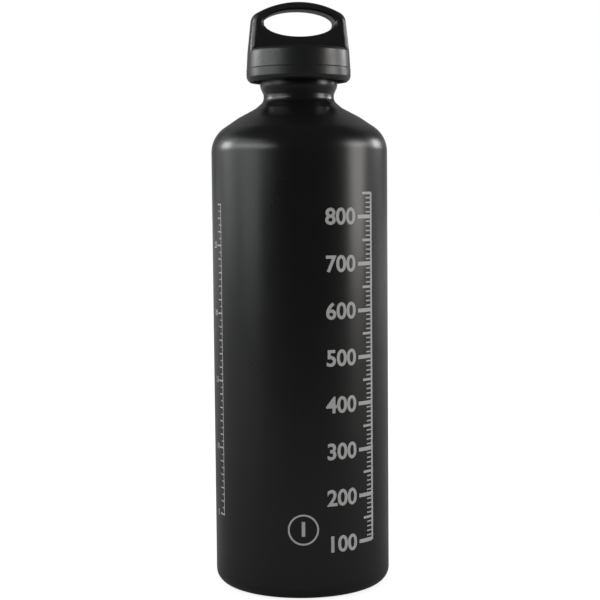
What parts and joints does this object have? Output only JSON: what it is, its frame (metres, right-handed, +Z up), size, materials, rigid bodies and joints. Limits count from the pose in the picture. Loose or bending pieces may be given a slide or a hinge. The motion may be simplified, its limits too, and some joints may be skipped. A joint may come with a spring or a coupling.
{
  "type": "camping fuel bottle",
  "caption": "Black drawn-aluminium camping fuel bottle with a sloped shoulder, a grooved neck and a push-and-turn stopper cap that carries a flat finger loop.",
  "frame": {"origin": "on the bottle's axis, at the surface it stands on", "axes": "+Z up along the bottle's axis, -Y towards the side where the loop's broad face looks, turned 6.5 degrees to +X"},
  "size_m": [0.0806, 0.0806, 0.2665],
  "materials": {
    "black_lacquer": "satin black lacquer over drawn aluminium",
    "bare_aluminium": "turned, satin",
    "seal_rubber": "matte",
    "stopper_plastic": "moulded, matte",
    "spring_steel": "satin",
    "cap_plastic": "moulded, satin"
  },
  "bodies": {
    "bottle": {"bottle_shell": "black_lacquer", "neck_thread_ring": "bare_aluminium"},
    "seal": {"mouth_seal": "seal_rubber"},
    "stopper": {"stopper": "stopper_plastic", "lock_spring": "spring_steel"},
    "washer": {"slip_washer": "spring_steel"},
    "cap": {"cap_shell": "cap_plastic", "retaining_ring": "stopper_plastic"}
  },
  "joints": [
    {"name": "cap_rise", "type": "slide", "parent": "bottle", "child": "seal", "axis": [0, 0, 1], "range_m": [0, 0.02101]},
    {"name": "cap_turn", "type": "hinge", "parent": "seal", "child": "stopper", "pos_m": [0, 0, 0.23607], "axis": [0, 0, 1], "range_deg": [0, 2160]},
    {"name": "cap_press", "type": "slide", "parent": "stopper", "child": "washer", "axis": [0, 0, 1], "range_m": [-0.0018, 0], "stiffness_N_per_m": 6000, "deforming": ["lock_spring"]},
    {"name": "cap_spin", "type": "hinge", "parent": "washer", "child": "cap", "pos_m": [0, 0, 0.24337], "axis": [0, 0, 1], "continuous": true}
  ],
  "couplings": [
    {"joint": "cap_rise", "follows": "cap_turn", "m_per_rad": 0.00055704}
  ]
}
